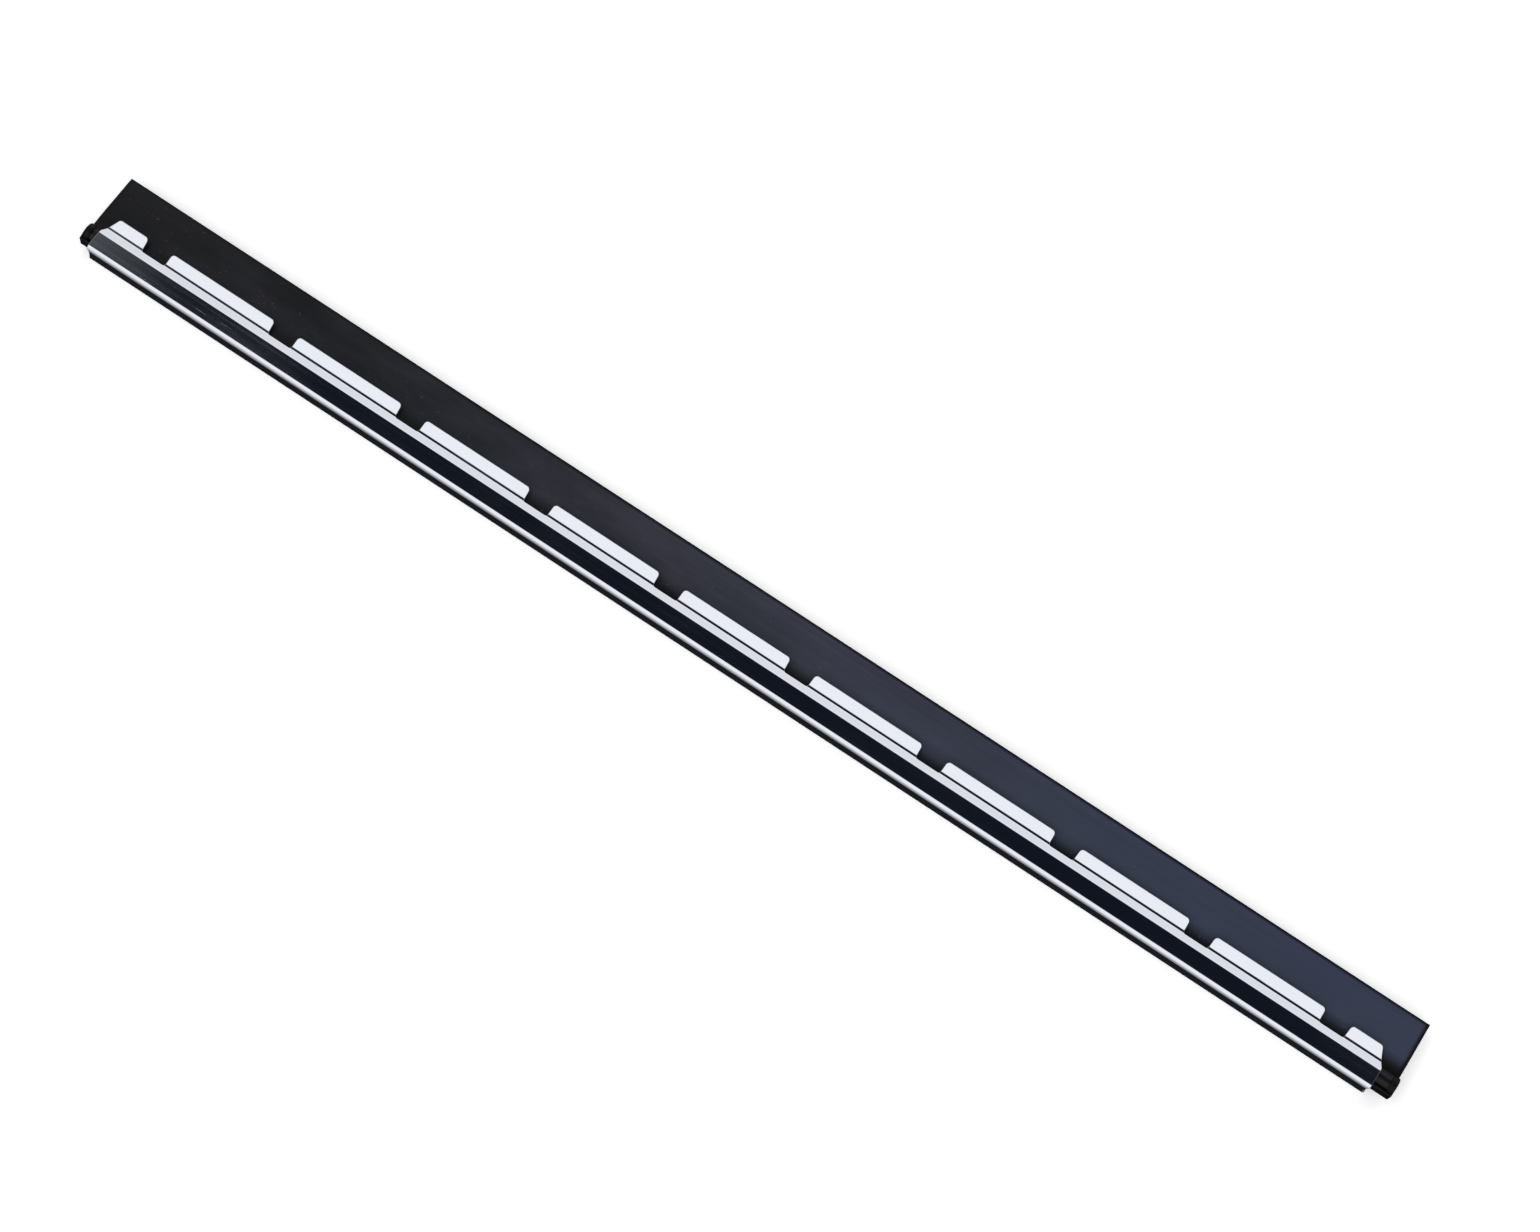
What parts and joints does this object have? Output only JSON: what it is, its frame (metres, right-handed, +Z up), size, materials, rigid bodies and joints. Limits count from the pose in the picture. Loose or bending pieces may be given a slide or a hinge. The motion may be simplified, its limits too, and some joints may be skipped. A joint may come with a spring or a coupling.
{
  "type": "squeegee channel with rubber blade",
  "caption": "Long folded stainless squeegee channel whose tongued lips pinch a black rubber wiping blade, with a black moulded clip at each end; it lies flat on its side.",
  "frame": {"origin": "on the surface that the assembly lies on, under the middle of its box", "axes": "+X along the channel to the right, +Y across it from the channel's back to the wiping edge, +Z up through its thickness"},
  "size_m": [0.3572, 0.021, 0.0062],
  "materials": {
    "stainless_steel": "polished",
    "black_rubber": "satin",
    "black_plastic": "matte"
  },
  "bodies": {
    "channel": {"channel": "stainless_steel"},
    "blade": {"rubber_blade": "black_rubber"},
    "left_clip": {"left_end_clip": "black_plastic"},
    "right_clip": {"right_end_clip": "black_plastic"}
  },
  "joints": [
    {"name": "blade_slide", "type": "slide", "parent": "channel", "child": "blade", "axis": [1, 0, 0], "range_m": [0, 0.36]},
    {"name": "left_clip_pull", "type": "slide", "parent": "channel", "child": "left_clip", "axis": [-1, 0, 0], "range_m": [0, 0.016]},
    {"name": "right_clip_pull", "type": "slide", "parent": "blade", "child": "right_clip", "axis": [1, 0, 0], "range_m": [0, 0.016]}
  ]
}
